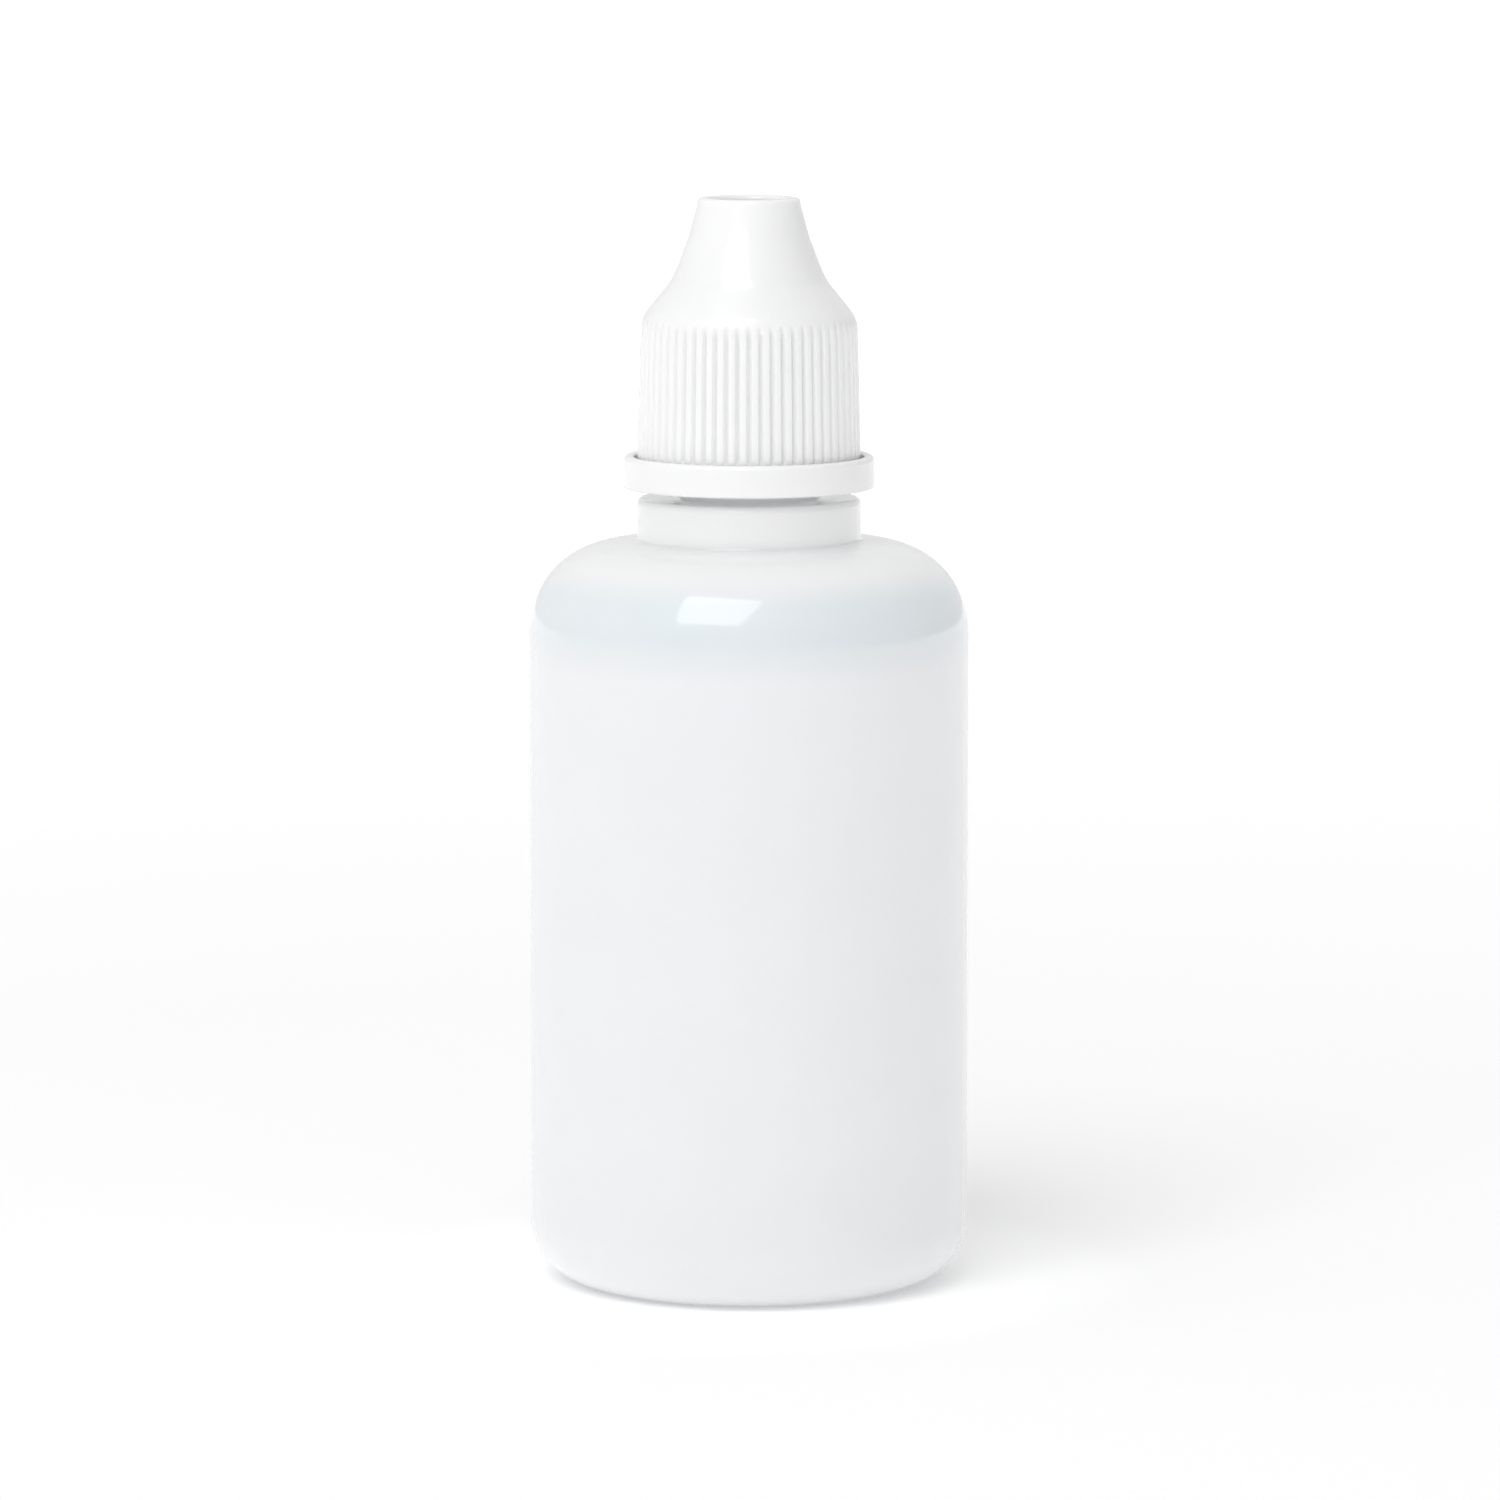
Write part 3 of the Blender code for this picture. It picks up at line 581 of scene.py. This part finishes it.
def make_inner_cap():
    upper = inner_cap_corners()
    step = CAP_BOTTOM + SNAP_HEIGHT + CLEARANCE
    lip = SNAP_RADIUS - CLEARANCE
    cavity = cavity_corners()
    ceiling = cavity[1][1]
    outer = [
        (lip, INNER_BOTTOM, EDGE),
        (lip, step, EDGE),
        (upper[0][0], step, EDGE),
    ] + upper[1:] + [
        (TIP_RADIUS, TIP_TOP, TIP_FILLET),
        (0.0, TIP_TOP, 0.0),
    ]
    inner = [
        (0.0, NOZZLE_TOP - PIN_REACH, 0.0),
        (PIN_RADIUS, NOZZLE_TOP - PIN_REACH, EDGE),
        (PIN_RADIUS, NOZZLE_TOP + CLEARANCE, 0.0),
        (PIN_ROOT_RADIUS, CAVITY_TOP, 0.0),
        (cavity[-1][0], CAVITY_TOP, CAVITY_FILLET),
    ] + cavity[:1:-1] + [
        (CAP_BORE, ceiling, 0.0),
        (CAP_BORE, INNER_BOTTOM, EDGE),
    ]
    outline = rounded(inner + outer)
    outline = divided_between(outline, INNER_BOTTOM, ceiling, THREAD_ROW,
                              CAP_BORE - EDGE, CAP_BORE + EDGE)
    base = INNER_BOTTOM + THREAD_FOOT / 2.0 + THREAD_MARGIN - CAP_THREAD_START * THREAD_PITCH
    relief = thread_relief(base, CAP_THREAD_START, CAP_THREAD_START + CAP_THREAD_TURNS,
                           -THREAD_DEPTH, CAP_BORE)
    cap = lathe("screw_cap", outline[::-1], SMALL_STEPS, relief=relief)
    size, place = drive_place(upper, -1.0)
    add_blocks(cap, DRIVE_COUNT, size, place)
    return cap


def make_outer_cap():
    bore = shell_inner_corners()
    inner = [
        (SKIRT_RADIUS - SKIRT_EDGE_WALL, SKIRT_BOTTOM, EDGE),
        (SKIRT_RADIUS - SKIRT_EDGE_WALL, CAP_BOTTOM, 0.0),
        (SNAP_RADIUS, CAP_BOTTOM, EDGE),
        (SNAP_RADIUS, CAP_BOTTOM + SNAP_HEIGHT / 2.0, EDGE),
        (bore[0][0], CAP_BOTTOM + SNAP_HEIGHT, EDGE),
    ] + bore[1:]
    outer = shell_corners()
    outer[0] = (SKIRT_RADIUS, SKIRT_BOTTOM, SKIRT_EDGE_FILLET)
    outline = rounded(inner + outer[::-1], closed=True)
    rows = [outline[0]]
    for start, end in zip(outline, outline[1:]):
        outside = min(start[0], end[0]) > RIBBED_RADIUS
        rows += divided([start, end], RIB_ROW)[1:] if outside else [end]
    cap = lathe("ribbed_cap", rows, RIB_COUNT * RIB_STEPS, closed=True, relief=rib_relief)
    size, place = drive_place(bore, 1.0)
    add_blocks(cap, DRIVE_COUNT, size, place, phase=0.5)
    return cap


# ---- Materials ----

WALL_AND_PAINTED_SHADE_TINTS = [                   # height on the bottle, and the wall's colour there with what is behind it: a little darker towards the foot, and a painted bluish shade band from 52 to 60.3 mm where the liquid's surface shows through the wall
    (0.0 * MM, (0.73, 0.735, 0.745)),
    (6.0 * MM, (0.73, 0.735, 0.745)),
    (14.0 * MM, (0.75, 0.755, 0.765)),
    # from here up to 60.3 mm: painted shade, a bluish band where the liquid's surface shows through the
    # wall
    (52.0 * MM, (0.745, 0.75, 0.765)),
    (55.0 * MM, (0.655, 0.70, 0.72)),
    (58.3 * MM, (0.645, 0.69, 0.71)),
    (60.3 * MM, (0.75, 0.75, 0.75)),
]
CAP_WHITE = ((0.857, 0.859, 0.859), (0.867, 0.869, 0.869))
RING_WHITE = ((0.85, 0.852, 0.85), (0.86, 0.862, 0.86))
NOISE_RANGE = (0.35, 0.65)       # most of a noise texture's values lie between these


def new_material(name):
    """Return a node material with its Principled shader."""
    material = bpy.data.materials.new(name)
    material.use_nodes = True
    return material, material.node_tree, material.node_tree.nodes["Principled BSDF"]


def noise(tree, scale, detail):
    """Return a noise texture fixed to the piece."""
    coordinates = tree.nodes.new("ShaderNodeTexCoord")
    texture = tree.nodes.new("ShaderNodeTexNoise")
    texture.inputs["Scale"].default_value = scale
    texture.inputs["Detail"].default_value = detail
    tree.links.new(coordinates.outputs["Object"], texture.inputs["Vector"])
    return texture


def vary(tree, texture, low, high, socket):
    """Drive a number or colour socket between two values by a texture."""
    if isinstance(low, tuple):
        ramp = tree.nodes.new("ShaderNodeValToRGB")
        for stop, position, colour in zip(ramp.color_ramp.elements, NOISE_RANGE, (low, high)):
            stop.position = position
            stop.color = (*colour, 1.0)
        tree.links.new(texture.outputs["Fac"], ramp.inputs["Fac"])
        tree.links.new(ramp.outputs["Color"], socket)
        return
    spread = tree.nodes.new("ShaderNodeMapRange")
    spread.inputs["From Min"].default_value = NOISE_RANGE[0]
    spread.inputs["From Max"].default_value = NOISE_RANGE[1]
    spread.inputs["To Min"].default_value = low
    spread.inputs["To Max"].default_value = high
    tree.links.new(texture.outputs["Fac"], spread.inputs["Value"])
    tree.links.new(spread.outputs["Result"], socket)


def bump(tree, shader, texture, strength, distance):
    node = tree.nodes.new("ShaderNodeBump")
    node.inputs["Strength"].default_value = strength
    node.inputs["Distance"].default_value = distance
    tree.links.new(texture.outputs["Fac"], node.inputs["Height"])
    tree.links.new(node.outputs["Normal"], shader.inputs["Normal"])


def tint_by_height(tree, tints):
    """Return a colour that changes with height on the piece."""
    coordinates = tree.nodes.new("ShaderNodeTexCoord")
    parts = tree.nodes.new("ShaderNodeSeparateXYZ")
    height = tree.nodes.new("ShaderNodeMapRange")
    height.inputs["From Max"].default_value = BODY_HEIGHT
    ramp = tree.nodes.new("ShaderNodeValToRGB")
    stops = ramp.color_ramp.elements
    while len(stops) < len(tints):
        stops.new(1.0)
    for stop, (level, colour) in zip(stops, tints):
        stop.position = level / BODY_HEIGHT
        stop.color = (*colour, 1.0)
    tree.links.new(coordinates.outputs["Object"], parts.inputs["Vector"])
    tree.links.new(parts.outputs["Z"], height.inputs["Value"])
    tree.links.new(height.outputs["Result"], ramp.inputs["Fac"])
    return ramp.outputs["Color"]


def bottle_plastic():
    """Soft translucent polyethylene. Its faint glow is painted light, an emission that stands for light
    crossing the filled bottle, and its colour holds a painted shade band at the liquid level.
    """
    material, tree, shader = new_material("soft_polyethylene")
    cloud = noise(tree, scale=140.0, detail=3.0)
    grain = noise(tree, scale=1400.0, detail=2.0)
    mottled = tree.nodes.new("ShaderNodeVectorMath")
    mottled.operation = "MULTIPLY"
    # the wall colour carries the painted shade band at the liquid level
    tree.links.new(tint_by_height(tree, WALL_AND_PAINTED_SHADE_TINTS), mottled.inputs[0])
    vary(tree, cloud, (0.985, 0.988, 0.99), (1.0, 1.0, 1.0), mottled.inputs[1])
    tree.links.new(mottled.outputs["Vector"], shader.inputs["Base Color"])
    vary(tree, grain, 0.40, 0.48, shader.inputs["Roughness"])
    bump(tree, shader, grain, strength=0.05, distance=0.05 * MM)
    shader.inputs["IOR"].default_value = 1.51
    shader.inputs["Transmission Weight"].default_value = 0.12
    shader.inputs["Subsurface Weight"].default_value = 1.0
    shader.inputs["Subsurface Radius"].default_value = (1.0, 1.0, 1.0)
    shader.inputs["Subsurface Scale"].default_value = 2.0 * MM
    # painted light: the wall glows faintly, though it is no lamp, for light that crosses the filled
    # bottle
    shader.inputs["Emission Color"].default_value = (0.97, 0.98, 1.0, 1.0)
    shader.inputs["Emission Strength"].default_value = 0.13
    shader.inputs["Coat Weight"].default_value = 1.0
    shader.inputs["Coat Roughness"].default_value = 0.035
    return material


def liquid_material():
    material, tree, shader = new_material("clear_liquid")
    cloud = noise(tree, scale=60.0, detail=1.0)
    vary(tree, cloud, (0.965, 0.98, 0.99), (0.975, 0.985, 0.995), shader.inputs["Base Color"])
    shader.inputs["Roughness"].default_value = 0.02
    shader.inputs["IOR"].default_value = 1.34
    shader.inputs["Transmission Weight"].default_value = 1.0
    return material


def plug_plastic():
    material, tree, shader = new_material("milky_polyethylene")
    cloud = noise(tree, scale=200.0, detail=3.0)
    grain = noise(tree, scale=1800.0, detail=2.0)
    vary(tree, cloud, (0.86, 0.88, 0.89), (0.90, 0.91, 0.92), shader.inputs["Base Color"])
    vary(tree, grain, 0.34, 0.42, shader.inputs["Roughness"])
    bump(tree, shader, grain, strength=0.05, distance=0.04 * MM)
    shader.inputs["IOR"].default_value = 1.51
    shader.inputs["Transmission Weight"].default_value = 0.15
    shader.inputs["Subsurface Weight"].default_value = 0.4
    shader.inputs["Subsurface Scale"].default_value = 1.0 * MM
    return material


def cap_plastic(name, low, high):
    """White moulded plastic, slightly uneven in colour and gloss."""
    material, tree, shader = new_material(name)
    cloud = noise(tree, scale=220.0, detail=3.0)
    grain = noise(tree, scale=2600.0, detail=3.0)
    vary(tree, cloud, low, high, shader.inputs["Base Color"])
    vary(tree, grain, 0.305, 0.315, shader.inputs["Roughness"])
    shader.inputs["IOR"].default_value = 1.49
    shader.inputs["Subsurface Weight"].default_value = 0.5
    shader.inputs["Subsurface Radius"].default_value = (1.0, 0.97, 0.95)
    shader.inputs["Subsurface Scale"].default_value = 1.2 * MM
    shader.inputs["Coat Weight"].default_value = 0.7
    shader.inputs["Coat Roughness"].default_value = 0.06
    return material


# ---- Studio ----

CAMERA_DISTANCE = 661.3 * MM
CAMERA_HEIGHT = 130.3 * MM
CAMERA_SIDE = 0.08 * MM
CAMERA_PITCH = math.radians(7.4)
SENSOR_WIDTH = 36.0
FOCAL_LENGTH = 192.0
CLIP_END = 50.0

SOFTBOX_AZIMUTH = math.radians(-23)
SOFTBOX_ELEVATION = math.radians(49)
SOFTBOX_DISTANCE = 3.0
SOFTBOX_SIZE = (1.80, 1.98)
SOFTBOX_POWER = 30.0
WORLD_LEFT = 0.80                # brightness of the surroundings on the left and in front
WORLD_RIGHT = 0.42               # and far to the right
WORLD_TURN = 0.35                # where it starts to darken, as the X of a direction
WORLD_SEEN = 1.1                 # brightness that the camera sees
FLOOR_RADIUS = 8.0
FLOOR_STEPS = 96
FLOOR_PAINTED_POOL_AND_BACKDROP_GLOWS = [                  # distances from the axis, and the glow at each of the two
    (0.018, 0.034, 0.10, 0.0),   # painted pool of light on the floor round the bottle's foot, for light that comes through the bottle
    (0.15, 1.2, 0.03, 0.35),     # the bright background
]


def make_camera():
    data = bpy.data.cameras.new("camera")
    data.sensor_width = SENSOR_WIDTH
    data.lens = FOCAL_LENGTH
    data.clip_end = CLIP_END
    camera = bpy.data.objects.new("camera", data)
    camera.location = (CAMERA_SIDE, -CAMERA_DISTANCE, CAMERA_HEIGHT)
    camera.rotation_euler = (math.pi / 2.0 - CAMERA_PITCH, 0.0, 0.0)
    bpy.context.scene.collection.objects.link(camera)
    bpy.context.scene.camera = camera


def make_softbox():
    """One large softbox, in front of the bottle, to its left and above it."""
    data = bpy.data.lights.new("softbox", "AREA")
    data.shape = "RECTANGLE"
    data.size, data.size_y = SOFTBOX_SIZE
    data.energy = SOFTBOX_POWER
    light = bpy.data.objects.new("softbox", data)
    target = Vector((0.0, 0.0, (NECK_TOP + BODY_HEIGHT) / 2.0))
    direction = Vector((
        math.sin(SOFTBOX_AZIMUTH) * math.cos(SOFTBOX_ELEVATION),
        -math.cos(SOFTBOX_AZIMUTH) * math.cos(SOFTBOX_ELEVATION),
        math.sin(SOFTBOX_ELEVATION),
    ))
    light.location = target + direction * SOFTBOX_DISTANCE
    light.rotation_euler = direction.to_track_quat("Z", "Y").to_euler()
    bpy.context.scene.collection.objects.link(light)


def make_world():
    """White surroundings, seen at full white and lighting a little less, most from the left."""
    world = bpy.data.worlds.new("studio")
    world.use_nodes = True
    tree = world.node_tree
    background = tree.nodes["Background"]
    background.inputs["Color"].default_value = (1.0, 1.0, 1.0, 1.0)
    direction = tree.nodes.new("ShaderNodeTexCoord")
    parts = tree.nodes.new("ShaderNodeSeparateXYZ")
    lean = tree.nodes.new("ShaderNodeMapRange")
    lean.interpolation_type = "SMOOTHSTEP"
    lean.inputs["From Min"].default_value = WORLD_TURN
    lean.inputs["To Min"].default_value = WORLD_LEFT
    lean.inputs["To Max"].default_value = WORLD_RIGHT
    path = tree.nodes.new("ShaderNodeLightPath")
    choice = tree.nodes.new("ShaderNodeMix")
    choice.inputs["B"].default_value = WORLD_SEEN
    tree.links.new(direction.outputs["Generated"], parts.inputs["Vector"])
    tree.links.new(parts.outputs["X"], lean.inputs["Value"])
    tree.links.new(path.outputs["Is Camera Ray"], choice.inputs["Factor"])
    tree.links.new(lean.outputs["Result"], choice.inputs["A"])
    tree.links.new(choice.outputs["Result"], background.inputs["Strength"])
    bpy.context.scene.world = world


def floor_material():
    """White floor with a painted pool of light round the bottle's foot, and a glow that grows far from
    the bottle, as if lit from behind.
    """
    material, tree, shader = new_material("studio_floor")
    cloud = noise(tree, scale=3.0, detail=2.0)
    vary(tree, cloud, (0.97, 0.97, 0.97), (0.98, 0.98, 0.98), shader.inputs["Base Color"])
    shader.inputs["Roughness"].default_value = 0.9
    shader.inputs["Specular IOR Level"].default_value = 0.0
    shader.inputs["Emission Color"].default_value = (1.0, 1.0, 1.0, 1.0)
    coordinates = tree.nodes.new("ShaderNodeTexCoord")
    away = tree.nodes.new("ShaderNodeVectorMath")
    away.operation = "LENGTH"
    glow = tree.nodes.new("ShaderNodeMath")
    tree.links.new(coordinates.outputs["Object"], away.inputs[0])
    # the first glow paints a pool of light round the bottle's foot; the second brightens the far floor
    for socket, (near, far, near_glow, far_glow) in zip(glow.inputs, FLOOR_PAINTED_POOL_AND_BACKDROP_GLOWS):
        share = tree.nodes.new("ShaderNodeMapRange")
        share.inputs["From Min"].default_value = near
        share.inputs["From Max"].default_value = far
        share.inputs["To Min"].default_value = near_glow
        share.inputs["To Max"].default_value = far_glow
        tree.links.new(away.outputs["Value"], share.inputs["Value"])
        tree.links.new(share.outputs["Result"], socket)
    tree.links.new(glow.outputs["Value"], shader.inputs["Emission Strength"])
    return material


def make_floor():
    bpy.ops.mesh.primitive_circle_add(vertices=FLOOR_STEPS, radius=FLOOR_RADIUS, fill_type="NGON")
    floor = bpy.context.object
    floor.name = "floor"
    floor.data.materials.append(floor_material())


# ---- Assembly ----

def place(piece, material, body, node, slot):
    piece.data.materials.clear()
    piece.data.materials.append(material)
    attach(piece, body)
    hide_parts(node)


def main():
    bpy.context.scene.view_settings.view_transform = "Standard"
    make_camera()
    make_world()
    make_softbox()
    make_floor()
    white = cap_plastic("white_cap_plastic", *CAP_WHITE)
    ring_white = cap_plastic("white_ring_plastic", *RING_WHITE)
    place(make_bottle(), bottle_plastic(), "bottle", "bottle_body", "bottle_plastic")
    place(make_liquid(), liquid_material(), "bottle", "liquid_fill", "liquid")
    place(make_plug(), plug_plastic(), "bottle", "dropper_plug", "plug_plastic")
    place(make_ring(), ring_white, "ring", "tamper_ring", "white_cap_plastic")
    place(make_inner_cap(), white, "threaded_cap", "inner_cap", "white_cap_plastic")
    place(make_outer_cap(), white, "push_cap", "outer_cap", "white_cap_plastic")


main()
